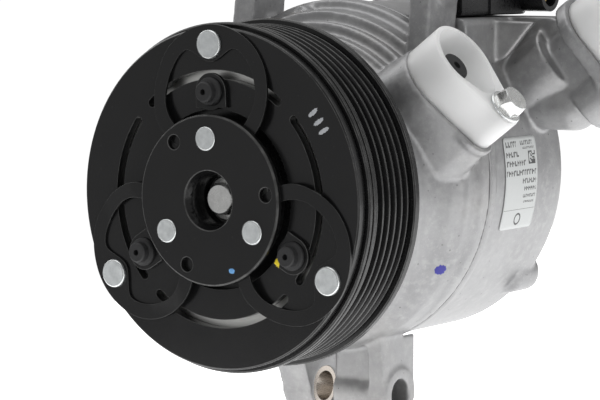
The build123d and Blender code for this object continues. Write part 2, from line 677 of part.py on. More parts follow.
# ---------------------------------------------------------------- writing the pieces
def write_clutch():
    write("armature_plate", armature_plate())
    write("armature_rivets", *around(outer_rivet(), 3, PATTERN_DEG))
    write("stopper_tabs", *around(stopper_tab(), 3, PATTERN_DEG))
    write("rubber_stoppers", *around(rubber_stopper(), 3, PATTERN_DEG))
    write("leaf_springs", *around(leaf_spring(), 3, PATTERN_DEG))
    write("hub_rivets", *around(inner_rivet(), 3, PATTERN_DEG))
    write("clutch_hub", clutch_hub())
    write("hub_bolt", hub_bolt())
    write("hub_washer", yring(7.0, 3.2, BOLT_SEAT - WASHER_T, BOLT_SEAT))
    write("gap_shim", yring(7.6, SHAFT_NOSE_R + 0.1, -2.0, SHAFT_SHOULDER))
    write("pulley", pulley())
    write("bearing_outer_race", yring(BEARING_OUT_R, 24.0, BEARING_FRONT, BEARING_FRONT + BEARING_W))
    write("bearing_inner_race", yring(17.0, BEARING_IN_R, BEARING_FRONT, BEARING_FRONT + BEARING_W))
    mid = BEARING_FRONT + BEARING_W / 2
    ball = Pos(BALL_PITCH_R, mid, 0) * Sphere(BALL_R)
    write("bearing_balls", *around(ball, BALL_COUNT))
    pocket = xcyl(BALL_R + 0.15, 15, 26, mid, 0)
    cage = yring(21.4, 19.6, mid - 4.5, mid + 4.5)
    write("ball_cage", cage - around(pocket, BALL_COUNT))
    seal = yring(24.0, 17.3, BEARING_FRONT + 0.4, BEARING_FRONT + 1.2)
    write("bearing_seals", seal, Pos(0, BEARING_W - 1.6, 0) * seal)
    ring_y = BEARING_FRONT + BEARING_W
    write("pulley_snap_ring", snap_ring(27.1, 24.4, ring_y, ring_y + 1.2))
    write("nose_snap_ring", snap_ring(17.0, 14.1, BEARING_FRONT - 1.25, BEARING_FRONT - 0.05))
    write("coil_housing", coil_housing())
    write("coil_winding", coil_winding())
    write("coil_screws", *around(coil_screw(), COIL_SCREW_COUNT, PATTERN_DEG))


def shell_bolt():
    """Socket cap screw M6 that runs through the shell into the front head."""
    head_back = BOSS_END - 0.4
    seat = head_back - CAP_SCREW_HEAD_H
    socket = Pos(0, head_back, 0) * Rot(90, 0, 0) * hex_prism(5.0, 3.2)
    return ycyl(5.0, seat, head_back) - socket + ycyl(2.95, SEAM_Y - 9, seat)


def relief_valve():
    """Threaded plug with a hexagon head, on the shell's rear face."""
    x, z = RELIEF_AT
    head = Pos(x, SHELL_REAR + RELIEF_HEAD_H, z) * Rot(90, 0, 0) * hex_prism(14.0, RELIEF_HEAD_H)
    return head + ycyl(RELIEF_R, SHELL_FLOOR_Y, SHELL_REAR, x, z)


def write_castings():
    write("front_head", front_head())
    write("rear_shell", rear_shell())
    bolts = []
    for deg in bolt_angles():
        x, z = polar(BOLT_CIRCLE_R, deg)
        bolts.append(Pos(x, 0, z + SHELL_Z) * shell_bolt())
    write("shell_bolts", *bolts)
    write("seam_gasket", seam_gasket())
    upper = xcyl(BUSHING_OUT_R, UPPER_LEFT_X, UPPER_LEFT_X + UPPER_LUG_T + 1, MOUNT_Y, MOUNT_Z)
    upper -= xcyl(MOUNT_BORE_R, -60, 0, MOUNT_Y, MOUNT_Z)
    lower = xcyl(BUSHING_OUT_R, LOWER_LEFT_X - 1, LOWER_LEFT_X + LOWER_LUG_T - 0.4, MOUNT_Y, -MOUNT_Z)
    lower -= xcyl(MOUNT_BORE_R, -60, 0, MOUNT_Y, -MOUNT_Z)
    write("mount_bushings", upper, lower)
    write("relief_valve", relief_valve())


def write_ports():
    for side, port in (("suction", SUCTION), ("discharge", DISCHARGE)):
        write(f"{side}_cap", port_cap(port))
        write(f"{side}_cap_bolt", cap_bolt(port))
        write(f"{side}_plug", port_plug(port))
    seat, poppet = check_valve()
    write("check_valve_seat", seat)
    write("check_valve_poppet", poppet)
    write("connector_body", connector_body())
    write("connector_pins", *connector_pins())
    write("label", label())


def label():
    """Paper sticker on the shell's right side."""
    skin = ycyl(SHELL_R + 0.25, LABEL_Y, LABEL_Y + LABEL_W, 0, SHELL_Z)
    skin -= ycyl(SHELL_R + 0.02, LABEL_Y - 1, LABEL_Y + LABEL_W + 1, 0, SHELL_Z)
    return skin & block(40, 70, LABEL_Y, LABEL_Y + LABEL_W, LABEL_Z, LABEL_Z + LABEL_H)


def write_pump():
    write("front_side_block", side_block(FRONT_BLOCK_Y, CYLINDER_Y, 11.5))
    write("cylinder_block", cylinder_block())
    write("rear_side_block", side_block(REAR_BLOCK_Y, REAR_BLOCK_END, 11.5))
    stud = ycyl(2.5, FRONT_BLOCK_Y + 1, REAR_BLOCK_END, BLOCK_BOLT_R)
    stud += ycyl(4.2, REAR_BLOCK_END, REAR_BLOCK_END + 3, BLOCK_BOLT_R)
    write("block_bolts", *[at_angle(stud, deg) for deg in BLOCK_BOLT_DEG])
    write("rotor", rotor())
    for i, part in enumerate(around(vane(), VANE_COUNT, 90)):
        write(f"vane_{i + 1}", part)
    write("shaft", shaft())
    front_cup, front_needles = needle_bearing(FRONT_BLOCK_Y, CYLINDER_Y)
    rear_cup, rear_needles = needle_bearing(REAR_BLOCK_Y, REAR_BLOCK_END)
    write("bearing_cups", front_cup, rear_cup)
    write("bearing_needles", *front_needles, *rear_needles)
    write("shaft_seal", turned([(8.0, 20), (9.0, 16.5), (16.0, 16.5), (16.0, 24), (9.6, 24)]))
    write("seal_snap_ring", snap_ring(15.9, 12.5, 14.9, 16.1))
    reeds = []
    stops = []
    screws = []
    for deg in REED_DEG:
        stop_back = REED_FLAT + REED_T + REED_STOP_T
        reeds.append(at_angle(block(REED_FLAT, REED_FLAT + REED_T, *REED_Y, -REED_HALF_W, REED_HALF_W), deg))
        stops.append(at_angle(block(REED_FLAT + REED_T, stop_back, *REED_Y, -REED_HALF_W, REED_HALF_W), deg))
        screws.append(at_angle(xcyl(1.9, stop_back, stop_back + 1.6, REED_SCREW_Y, 0), deg))
    write("discharge_reeds", *reeds)
    write("reed_stops", *stops)
    write("reed_screws", *screws)


write_clutch()
write_castings()
write_ports()
write_pump()
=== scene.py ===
import json
import math
import random

import bmesh
import bpy
from mathutils import Matrix, Vector


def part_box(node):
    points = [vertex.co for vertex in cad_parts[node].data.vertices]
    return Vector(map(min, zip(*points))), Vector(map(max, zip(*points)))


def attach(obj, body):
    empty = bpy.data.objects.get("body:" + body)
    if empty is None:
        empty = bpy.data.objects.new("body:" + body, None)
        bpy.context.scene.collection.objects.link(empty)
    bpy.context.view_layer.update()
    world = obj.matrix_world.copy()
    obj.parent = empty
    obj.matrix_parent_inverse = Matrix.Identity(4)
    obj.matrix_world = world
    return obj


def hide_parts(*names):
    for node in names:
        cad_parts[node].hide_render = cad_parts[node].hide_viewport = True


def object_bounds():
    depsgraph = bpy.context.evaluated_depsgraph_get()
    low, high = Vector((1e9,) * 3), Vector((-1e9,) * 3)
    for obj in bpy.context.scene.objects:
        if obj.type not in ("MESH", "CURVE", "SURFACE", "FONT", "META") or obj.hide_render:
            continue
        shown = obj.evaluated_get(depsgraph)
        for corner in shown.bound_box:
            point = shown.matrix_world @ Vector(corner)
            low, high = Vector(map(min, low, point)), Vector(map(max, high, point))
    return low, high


# Looks of a car air-conditioning compressor. Metres, in the CAD frame: +Y runs along the
# shaft from the clutch to the rear shell, +Z is up.

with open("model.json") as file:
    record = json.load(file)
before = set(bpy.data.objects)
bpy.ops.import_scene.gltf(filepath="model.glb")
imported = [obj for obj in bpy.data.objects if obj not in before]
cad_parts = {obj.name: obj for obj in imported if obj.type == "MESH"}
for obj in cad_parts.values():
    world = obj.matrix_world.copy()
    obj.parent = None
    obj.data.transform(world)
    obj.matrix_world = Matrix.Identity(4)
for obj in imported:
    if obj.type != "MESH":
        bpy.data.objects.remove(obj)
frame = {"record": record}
cad_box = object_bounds()

MM = 0.001
SEED = 7                        # of the sticker's greeked marks

# castings
VOXEL = 0.75 * MM
SMOOTH_PASSES = 5
FACES_KEPT = 0.45               # share of the remeshed faces that stays
WELD = 0.002 * MM
BOSS_R = 4.4 * MM               # bosses over the shell bolts' blind ends
BOSS_DEPTH = 10.0 * MM
BOSS_SIDES = 32
BOLT_REACH = 15.0 * MM          # further than this from one bolt's axis is another bolt

# broken edges
FLAT_ANGLE = math.radians(1.0)
SHARP_ANGLE = math.radians(32.0)

# pulley: the bare ring that the clutch plate rubs on
FRICTION_IN_R = 39.0 * MM
FRICTION_OUT_R = 54.0 * MM
FRICTION_DEPTH = 0.05 * MM

WIRE = 0.8 * MM                 # across one turn of the coil

# sockets of a Mix node that blends colours
MIX_FIRST = 6
MIX_SECOND = 7
MIX_RESULT = 2


# ---------------------------------------------------------------- material building blocks
def new_material(name):
    mat = bpy.data.materials.new(name)
    mat.use_nodes = True
    return mat


def shader(mat):
    return next(n for n in mat.node_tree.nodes if n.type == "BSDF_PRINCIPLED")


def add(mat, kind, inputs=None, **settings):
    """Add a node; an input takes a plain value or another node's socket."""
    node = mat.node_tree.nodes.new(kind)
    for key, value in settings.items():
        setattr(node, key, value)
    for key, value in (inputs or {}).items():
        feed(mat, node.inputs[key], value)
    return node


def feed(mat, socket, value):
    if isinstance(value, bpy.types.NodeSocket):
        mat.node_tree.links.new(value, socket)
    else:
        socket.default_value = value


def place(mat):
    """Position on the object, in metres."""
    return add(mat, "ShaderNodeTexCoord").outputs["Object"]


def noise(mat, scale, detail=4.0, roughness=0.55, where=None):
    where = where or place(mat)
    node = add(mat, "ShaderNodeTexNoise", {"Vector": where, "Scale": scale, "Detail": detail,
                                           "Roughness": roughness})
    return node.outputs["Fac"]


def spots(mat, scale, size):
    """1 inside small scattered dots, 0 between them."""
    node = add(mat, "ShaderNodeTexVoronoi", {"Vector": place(mat), "Scale": scale})
    return between(mat, node.outputs["Distance"], size, size * 0.6)


def between(mat, value, low, high, out_low=0.0, out_high=1.0):
    """Stretch the values from low to high over out_low to out_high, and hold them there."""
    node = add(mat, "ShaderNodeMapRange", {"Value": value, "From Min": low, "From Max": high,
                                           "To Min": out_low, "To Max": out_high})
    return node.outputs["Result"]


def calc(mat, operation, first, second=0.0):
    return add(mat, "ShaderNodeMath", {0: first, 1: second}, operation=operation).outputs[0]


def colour(red, green, blue):
    return (red, green, blue, 1.0)


def blend_colour(mat, amount, first, second):
    """Mix two colours, each a red, green and blue triple or another node's socket."""
    node = add(mat, "ShaderNodeMix", data_type="RGBA")
    feed(mat, node.inputs["Factor"], amount)
    for index, shade in ((MIX_FIRST, first), (MIX_SECOND, second)):
        plain = isinstance(shade, tuple)
        feed(mat, node.inputs[index], colour(*shade) if plain else shade)
    return node.outputs[MIX_RESULT]


def bump(mat, height, strength, depth, under=None):
    inputs = {"Height": height, "Strength": strength, "Distance": depth}
    if under is not None:
        inputs["Normal"] = under
    return add(mat, "ShaderNodeBump", inputs).outputs["Normal"]


def axes(mat):
    return add(mat, "ShaderNodeSeparateXYZ", {"Vector": place(mat)}).outputs


def shaft_distance(mat):
    xyz = axes(mat)
    flat = add(mat, "ShaderNodeCombineXYZ", {"X": xyz["X"], "Y": xyz["Z"]}).outputs[0]
    return add(mat, "ShaderNodeVectorMath", {0: flat}, operation="LENGTH").outputs["Value"]


def turned_lines(mat, per_metre):
    """Fine, slightly uneven rings about the shaft axis, as a lathe leaves them."""
    along = calc(mat, "MULTIPLY", axes(mat)["Y"], 0.5)
    stretched = add(mat, "ShaderNodeCombineXYZ", {"X": shaft_distance(mat), "Y": along}).outputs[0]
    rings = noise(mat, per_metre, detail=3.0, roughness=0.6, where=stretched)
    patches = noise(mat, scale=60.0)
    return calc(mat, "ADD", rings, calc(mat, "MULTIPLY", patches, 0.15))


def setup(mat, base, rough, metal=0.0, normal=None, **extra):
    """Connect the main sockets of the shader."""
    bsdf = shader(mat)
    feed(mat, bsdf.inputs["Base Color"], base)
    feed(mat, bsdf.inputs["Roughness"], rough)
    feed(mat, bsdf.inputs["Metallic"], metal)
    if normal is not None:
        feed(mat, bsdf.inputs["Normal"], normal)
    for key, value in extra.items():
        feed(mat, bsdf.inputs[key.replace("_", " ")], value)
    return mat


# ---------------------------------------------------------------- materials
def cast_aluminium():
    """Die casting: cloudy, mottled skin with soft brown stains, sandy grain and small pits."""
    mat = new_material("cast_aluminium")
    cloud = noise(mat, scale=38.0, detail=5.0, roughness=0.6)
    stain = noise(mat, scale=16.0, detail=4.0, roughness=0.6)
    mottle = noise(mat, scale=330.0, detail=4.0, roughness=0.65)
    grain = noise(mat, scale=1500.0, detail=3.0, roughness=0.7)
    base = blend_colour(mat, between(mat, cloud, 0.3, 0.72), (0.275, 0.275, 0.280), (0.40, 0.40, 0.405))
    base = blend_colour(mat, between(mat, stain, 0.52, 0.75, 0.0, 0.3), base, (0.40, 0.38, 0.355))
    base = blend_colour(mat, between(mat, mottle, 0.5, 0.72, 0.0, 0.38), base, (0.53, 0.53, 0.525))
    base = blend_colour(mat, between(mat, mottle, 0.46, 0.3, 0.0, 0.32), base, (0.23, 0.23, 0.235))
    base = blend_colour(mat, between(mat, grain, 0.6, 0.75, 0.0, 0.4), base, (0.60, 0.60, 0.60))
    base = blend_colour(mat, spots(mat, 230.0, 0.09), base, (0.20, 0.20, 0.20))
    rough = between(mat, calc(mat, "ADD", cloud, mottle), 0.7, 1.4, 0.36, 0.56)
    skin = bump(mat, noise(mat, scale=160.0, detail=3.0), strength=0.35, depth=0.30 * MM)
    skin = bump(mat, mottle, strength=0.45, depth=0.12 * MM, under=skin)
    skin = bump(mat, grain, strength=0.4, depth=0.05 * MM, under=skin)
    return setup(mat, base, rough, metal=0.70, normal=skin)


def black_coat(name, grey=0.007, low=0.17, high=0.27, dusty=0.35):
    """Thin black coat on pressed steel, with faint orange peel and a little dust."""
    mat = new_material(name)
    peel = noise(mat, scale=1300.0, detail=2.0, roughness=0.5)
    cloud = noise(mat, scale=45.0, detail=4.0, roughness=0.6)
    dust = spots(mat, 330.0, 0.045)
    deep = (grey * 0.8, grey * 0.8, grey * 0.85)
    pale = (grey * 1.5, grey * 1.5, grey * 1.55)
    base = blend_colour(mat, cloud, deep, pale)
    base = blend_colour(mat, calc(mat, "MULTIPLY", dust, dusty), base, (0.16, 0.16, 0.15))
    rough = between(mat, calc(mat, "ADD", peel, cloud), 0.7, 1.3, low, high)
    skin = bump(mat, peel, strength=0.08, depth=0.02 * MM)
    return setup(mat, base, rough, normal=skin, Specular_IOR_Level=0.40)


def highlit_worn_edge(name, dark, light, low, high, metal=0.0):
    """The thin line along an edge, lighter than the face: partly finish polished by handling, partly a
    painted highlight.
    """
    mat = new_material(name)
    wear_and_highlight = between(mat, noise(mat, scale=260.0, detail=5.0, roughness=0.7), 0.36, 0.64)
    base = blend_colour(mat, wear_and_highlight, dark, light)
    skin = bump(mat, wear_and_highlight, strength=0.1, depth=0.02 * MM)
    return setup(mat, base, between(mat, wear_and_highlight, 0.0, 1.0, high, low), metal=metal, normal=skin)


def pulley_coat():
    """Black coat on the rim and bare turned steel on the friction face."""
    mat = black_coat("pulley_coat", 0.006, 0.20, 0.30, 0.0)
    base = shader(mat).inputs["Base Color"].links[0].from_socket
    rough = shader(mat).inputs["Roughness"].links[0].from_socket
    rings = turned_lines(mat, 2600.0)
    radius = shaft_distance(mat)
    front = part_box("pulley")[0].y
    face = calc(mat, "LESS_THAN", axes(mat)["Y"], front + FRICTION_DEPTH)
    face = calc(mat, "MULTIPLY", face, calc(mat, "LESS_THAN", radius, FRICTION_OUT_R))
    face = calc(mat, "MULTIPLY", face, calc(mat, "GREATER_THAN", radius, FRICTION_IN_R))
    steel = blend_colour(mat, rings, (0.50, 0.50, 0.485), (0.76, 0.76, 0.74))
    feed(mat, shader(mat).inputs["Base Color"], blend_colour(mat, face, base, steel))
    feed(mat, shader(mat).inputs["Metallic"], face)
    lined = between(mat, rings, 0.3, 0.8, 0.26, 0.40)
    mixed = calc(mat, "ADD", calc(mat, "MULTIPLY", face, lined),
                 calc(mat, "MULTIPLY", calc(mat, "SUBTRACT", 1.0, face), rough))
    feed(mat, shader(mat).inputs["Roughness"], mixed)
    return mat


def plated_steel(name, dark, light, low, high, metal=1.0):
    """Zinc or nickel plating with a slightly mottled, brushed look."""
    mat = new_material(name)
    mottle = noise(mat, scale=420.0, detail=4.0, roughness=0.6)
    brush = noise(mat, scale=2400.0, detail=2.0, roughness=0.5)
    base = blend_colour(mat, between(mat, mottle, 0.3, 0.7), dark, light)
    rough = between(mat, mottle, 0.3, 0.7, low, high)
    skin = bump(mat, calc(mat, "ADD", mottle, brush), strength=0.15, depth=0.02 * MM)
    return setup(mat, base, rough, metal=metal, normal=skin)


def cap_plastic():
    """Milky polyethylene of the transport caps."""
    mat = new_material("cap_plastic")
    cloud = noise(mat, scale=90.0, detail=3.0, roughness=0.5)
    grain = noise(mat, scale=1500.0, detail=3.0, roughness=0.6)
    base = blend_colour(mat, cloud, (0.91, 0.92, 0.91), (0.97, 0.98, 0.97))
    rough = between(mat, grain, 0.3, 0.7, 0.34, 0.46)
    skin = bump(mat, grain, strength=0.12, depth=0.03 * MM)
    return setup(mat, base, rough, normal=skin, Subsurface_Weight=1.0, Subsurface_Radius=(1.0, 1.0, 1.0),
                 Subsurface_Scale=12.0 * MM)


def rubber():
    mat = new_material("rubber")
    bloom = noise(mat, scale=160.0, detail=4.0, roughness=0.6)
    grain = noise(mat, scale=1800.0, detail=3.0, roughness=0.6)
    base = blend_colour(mat, bloom, (0.010, 0.010, 0.011), (0.026, 0.026, 0.027))
    skin = bump(mat, grain, strength=0.25, depth=0.05 * MM)
    return setup(mat, base, between(mat, bloom, 0.3, 0.7, 0.52, 0.70), normal=skin)


def moulded_plastic(name, dark, light, low, high):
    """Glass-filled plastic with a finely eroded mould surface."""
    mat = new_material(name)
    fleck = noise(mat, scale=900.0, detail=4.0, roughness=0.65)
    cloud = noise(mat, scale=70.0, detail=3.0, roughness=0.5)
    base = blend_colour(mat, between(mat, calc(mat, "ADD", fleck, cloud), 0.7, 1.3), dark, light)
    skin = bump(mat, fleck, strength=0.08, depth=0.03 * MM)
    return setup(mat, base, between(mat, fleck, 0.3, 0.7, low, high), normal=skin)


def ground_steel(name, dark, light):
    """Steel turned and ground about the shaft axis."""
    mat = new_material(name)
    rings = turned_lines(mat, 3000.0)
    base = blend_colour(mat, rings, dark, light)
    skin = bump(mat, rings, strength=0.1, depth=0.01 * MM)
    return setup(mat, base, between(mat, rings, 0.3, 0.8, 0.2, 0.34), metal=1.0, normal=skin)


def copper_wire():
    """Enamelled wire wound in layers about the shaft axis."""
    mat = new_material("copper_wire")
    radius = shaft_distance(mat)
    turns = calc(mat, "SINE", calc(mat, "MULTIPLY", radius, 2.0 * math.pi / WIRE))
    # darker in the grooves between turns and lighter on their crests: painted shade and painted highlight
    base = blend_colour(mat, between(mat, turns, -1.0, 1.0), (0.28, 0.10, 0.05), (0.62, 0.28, 0.14))
    skin = bump(mat, turns, strength=0.5, depth=0.2 * MM)
    return setup(mat, base, between(mat, turns, -1.0, 1.0, 0.45, 0.28), metal=0.8, normal=skin)


def sticker_paper():
    mat = new_material("sticker_paper")
    fibre = noise(mat, scale=1400.0, detail=4.0, roughness=0.7)
    base = blend_colour(mat, fibre, (0.52, 0.54, 0.535), (0.60, 0.61, 0.61))
    skin = bump(mat, fibre, strength=0.08, depth=0.02 * MM)
    return setup(mat, base, between(mat, fibre, 0.3, 0.7, 0.42, 0.55), normal=skin)


def printing_ink():
    mat = new_material("printing_ink")
    fade = noise(mat, scale=700.0, detail=3.0, roughness=0.6)
    base = blend_colour(mat, fade, (0.03, 0.03, 0.032), (0.11, 0.11, 0.11))
    return setup(mat, base, between(mat, fade, 0.3, 0.7, 0.45, 0.6))


def marker_paint(name, dark, light):
    mat = new_material(name)
    dab = noise(mat, scale=900.0, detail=3.0, roughness=0.6)
    base = blend_colour(mat, dab, dark, light)
    skin = bump(mat, dab, strength=0.4, depth=0.08 * MM)
    return setup(mat, base, between(mat, dab, 0.3, 0.7, 0.35, 0.6), normal=skin)


ZINC_DARK = (0.62, 0.645, 0.65)
ZINC_LIGHT = (0.80, 0.825, 0.83)

# Each material slot's look. After the colours come the least and greatest roughness, then the metalness.
looks = {
    "black_steel": black_coat("black_coat"),
    "pulley_steel": pulley_coat(),
    "rivet_steel": plated_steel("rivet_steel", ZINC_DARK, ZINC_LIGHT, 0.38, 0.48, 0.85),
    "zinc_steel": plated_steel("zinc_steel", (0.62, 0.62, 0.61), (0.76, 0.76, 0.75), 0.22, 0.30),
    "bearing_steel": ground_steel("bearing_steel", (0.42, 0.42, 0.43), (0.68, 0.68, 0.69)),
    "spring_steel": ground_steel("spring_steel", (0.10, 0.10, 0.11), (0.22, 0.22, 0.23)),
    "bushing_steel": ground_steel("bushing_steel", (0.30, 0.27, 0.24), (0.52, 0.47, 0.42)),
    "cage_nylon": moulded_plastic("cage_nylon", (0.50, 0.45, 0.30), (0.64, 0.58, 0.42), 0.4, 0.55),
    "black_rubber": rubber(),
    "cast_aluminium": cast_aluminium(),
    "pump_iron": plated_steel("pump_iron", (0.20, 0.20, 0.21), (0.34, 0.34, 0.35), 0.34, 0.5),
    "vane_aluminium": plated_steel("vane_aluminium", (0.55, 0.55, 0.56), (0.70, 0.70, 0.71), 0.25, 0.4),
    "coil_steel": black_coat("coil_coat", 0.03, 0.4, 0.55),
    "copper": copper_wire(),
    "white_cap": cap_plastic(),
    "black_plastic": moulded_plastic("black_plastic", (0.009, 0.009, 0.010), (0.016, 0.016, 0.017),
                                     0.24, 0.34),
    "pin_brass": plated_steel("pin_brass", (0.55, 0.38, 0.14), (0.75, 0.56, 0.26), 0.2, 0.32),
    "label_paper": sticker_paper(),
    "gasket_sheet": moulded_plastic("gasket_sheet", (0.30, 0.30, 0.305), (0.42, 0.42, 0.425), 0.45, 0.6),
}
# edge materials, lighter than the faces: partly worn finish, partly a painted highlight along every
# bevelled edge
black_highlit_edge = highlit_worn_edge("black_highlit_edge", (0.018, 0.018, 0.018), (0.085, 0.085, 0.083), 0.20, 0.32)
zinc_highlit_edge = highlit_worn_edge("zinc_highlit_edge", (0.62, 0.64, 0.64), (0.84, 0.86, 0.86), 0.18, 0.28, 0.9)
plastic_highlit_edge = highlit_worn_edge("plastic_highlit_edge", (0.012, 0.012, 0.012), (0.06, 0.06, 0.06), 0.25, 0.35)
edge_looks = {"rivet_steel": zinc_highlit_edge, "zinc_steel": zinc_highlit_edge, "black_plastic": plastic_highlit_edge}


def cad_object(node):
    return bpy.data.objects[node]


node_slot = {part["node"]: part["material_slot"] for part in frame["record"]["subparts"]}
node_body = {}
for body_name, members in frame["record"]["behaviour"]["bodies"].items():
    for member in members:
        node_body[member] = body_name


def dress(obj, mat):
    obj.data.materials.clear()
    obj.data.materials.append(mat)


# ---------------------------------------------------------------- meshes that stand for CAD nodes
def copy_of(node, name):
    """A loose copy of a CAD node's mesh, welded."""
    mesh = cad_object(node).data.copy()
    obj = bpy.data.objects.new(name, mesh)
    bpy.context.scene.collection.objects.link(obj)
    work = bmesh.new()
    work.from_mesh(mesh)
    bmesh.ops.remove_doubles(work, verts=work.verts, dist=WELD)
    work.to_mesh(mesh)
    work.free()
    if mesh.attributes.get("custom_normal"):
        mesh.attributes.remove(mesh.attributes["custom_normal"])
    return obj


def apply_modifiers(obj):
    graph = bpy.context.evaluated_depsgraph_get()
    made = bpy.data.meshes.new_from_object(obj.evaluated_get(graph))
    obj.modifiers.clear()
    obj.data = made


def stand_for(obj, node):
    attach(obj, node_body[node])
    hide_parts(node)


def bolt_places():
    """X and Z of each shell bolt's axis."""
    spread = [Vector((vert.co.x, vert.co.z)) for vert in cad_object("shell_bolts").data.vertices]
    firsts = []
    for spot in spread:
        if all((spot - other).length > BOLT_REACH for other in firsts):
            firsts.append(spot)
    places = []
    for first in firsts:
        near = [spot for spot in spread if (spot - first).length < BOLT_REACH]
        xs = [spot.x for spot in near]
        zs = [spot.y for spot in near]
        places.append(((min(xs) + max(xs)) / 2, (min(zs) + max(zs)) / 2))
    return places


def add_bosses(mesh):
    """Solid bosses over the shell bolts' ends, where the wall is thinner than a voxel or open."""
    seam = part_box("seam_gasket")[0].y
    work = bmesh.new()
    work.from_mesh(mesh)
    for x, z in bolt_places():
        middle = Vector((x, seam - BOSS_DEPTH / 2, z))
        turn = Matrix.Translation(middle) @ Matrix.Rotation(math.radians(90.0), 4, "X")
        bmesh.ops.create_cone(work, cap_ends=True, segments=BOSS_SIDES, radius1=BOSS_R, radius2=BOSS_R,
                              depth=BOSS_DEPTH, matrix=turn)
    work.to_mesh(mesh)
    work.free()


def cast_skin(node):
    """The casting with its corners and roots rounded as a die leaves them."""
    obj = copy_of(node, node + "_skin")
    if node == "front_head":
        add_bosses(obj.data)
    remesh = obj.modifiers.new("remesh", "REMESH")
    remesh.mode = "VOXEL"
    remesh.voxel_size = VOXEL
    smooth = obj.modifiers.new("smooth", "SMOOTH")
    smooth.factor = 0.5
    smooth.iterations = SMOOTH_PASSES
    thin = obj.modifiers.new("thin", "DECIMATE")
    thin.ratio = FACES_KEPT
    apply_modifiers(obj)
    obj.data.shade_smooth()
    stand_for(obj, node)
    dress(obj, looks[node_slot[node]])


def eased(node, width):
    """The piece with its sharp edges broken by a small bevel, which takes the lighter edge material: worn
    finish and painted highlight.
    """
    obj = copy_of(node, node + "_eased")
    work = bmesh.new()
    work.from_mesh(obj.data)
    bmesh.ops.dissolve_limit(work, angle_limit=FLAT_ANGLE, verts=work.verts, edges=work.edges)
    work.to_mesh(obj.data)
    work.free()
    slot = node_slot[node]
    dress(obj, looks[slot])
    obj.data.materials.append(edge_looks.get(slot, black_highlit_edge))
    obj.data.shade_smooth()
    bevel = obj.modifiers.new("bevel", "BEVEL")
    bevel.width = width
    bevel.segments = 2
    bevel.limit_method = "ANGLE"
    bevel.angle_limit = SHARP_ANGLE
    bevel.use_clamp_overlap = True
    # the bevel faces get the lighter edge material: painted highlight along with wear
    bevel.material = 1
    level = obj.modifiers.new("level", "WEIGHTED_NORMAL")
    level.keep_sharp = True
    level.weight = 100
    apply_modifiers(obj)
    stand_for(obj, node)


EDGE_WIDTHS = {                 # in millimetres
    "armature_plate": 0.3, "clutch_hub": 0.3, "pulley": 0.22, "leaf_springs": 0.16, "stopper_tabs": 0.2,
    "armature_rivets": 0.25, "hub_rivets": 0.25, "hub_bolt": 0.25, "suction_cap_bolt": 0.2,
    "discharge_cap_bolt": 0.2, "shell_bolts": 0.2, "connector_body": 0.2,
}
for cad_node, cad_slot in node_slot.items():
    dress(cad_object(cad_node), looks[cad_slot])
for cad_node in ("front_head", "rear_shell"):
    cast_skin(cad_node)
for cad_node, edge_width in EDGE_WIDTHS.items():
    eased(cad_node, edge_width * MM)


# ---------------------------------------------------------------- sticker
LABEL_LOW, LABEL_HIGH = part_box("label")
LABEL_WIDE = (LABEL_HIGH.y - LABEL_LOW.y) / MM
LABEL_TALL = (LABEL_HIGH.z - LABEL_LOW.z) / MM
LABEL_RADIUS = 59.25 * MM       # of its outer face, about the shell's axis
SHELL_AXIS_Z = 4.0 * MM
LABEL_CORNER = 1.6              # sizes on the sticker are in millimetres
LABEL_T = 0.12 * MM
INK_LIFT = 0.02 * MM
TEXT_LINES = (                  # from, to, drop of the letters' feet below the top edge, letter height
    (1.2, 8.0, 3.4, 1.9),
    (10.8, 18.5, 2.9, 1.4),
    (12.0, 19.4, 4.3, 0.7),
    (0.9, 9.0, 6.8, 1.8),
    (0.9, 13.4, 9.9, 1.8),
    (0.6, 20.0, 13.2, 1.8),
    (11.2, 20.0, 16.1, 1.7),
    (12.4, 20.0, 18.6, 1.4),
    (12.0, 20.0, 21.0, 1.1),
    (12.6, 19.4, 22.8, 0.7),
)
CODE_AT = (15.2, 9.6)           # its lower front corner: along, and drop below the top edge
CODE_CELLS = 9
CODE_CELL = 0.5
DIVIDER_UP = 6.7
DIVIDER_EDGE = 0.3
DIVIDER_T = 0.12
RING_AT = (10.5, 3.4)           # along and up
RING_IN_R = 1.5
RING_OUT_R = 2.1
RING_SPOKES = 28


def mesh_piece(name, verts, faces, mat, body):
    mesh = bpy.data.meshes.new(name)
    mesh.from_pydata(verts, [], faces)
    mesh.update()
    obj = bpy.data.objects.new(name, mesh)
    bpy.context.scene.collection.objects.link(obj)
    dress(obj, mat)
    mesh.shade_smooth()
    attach(obj, body)
    return obj


def on_label(along, up, lift=0.0):
    """A place on the sticker, along and up from its lower front corner, lifted off its face."""
    height = LABEL_LOW.z + up * MM - SHELL_AXIS_Z
    radius = LABEL_RADIUS + lift
    return (math.sqrt(radius ** 2 - height ** 2), LABEL_LOW.y + along * MM, height + SHELL_AXIS_Z)


def label_sheet():
    """Sticker with round corners, bent round the shell."""
    columns, rows = 20, 32
    verts = []
    for row in range(rows + 1):
        for column in range(columns + 1):
            along = LABEL_WIDE * column / columns
            up = LABEL_TALL * row / rows
            centre = Vector((min(max(along, LABEL_CORNER), LABEL_WIDE - LABEL_CORNER),
                             min(max(up, LABEL_CORNER), LABEL_TALL - LABEL_CORNER)))
            reach = Vector((along, up)) - centre
            if reach.length > LABEL_CORNER:
                reach = reach.normalized() * LABEL_CORNER
            verts.append(on_label(centre.x + reach.x, centre.y + reach.y))
    faces = []
    for row in range(rows):
        for column in range(columns):
            first = row * (columns + 1) + column
            faces.append((first, first + 1, first + columns + 2, first + columns + 1))
    sheet = mesh_piece("label_sheet", verts, faces, looks["label_paper"], "housing")
    thick = sheet.modifiers.new("thick", "SOLIDIFY")
    thick.thickness = LABEL_T
    thick.offset = -1.0
    apply_modifiers(sheet)
    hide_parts("label")


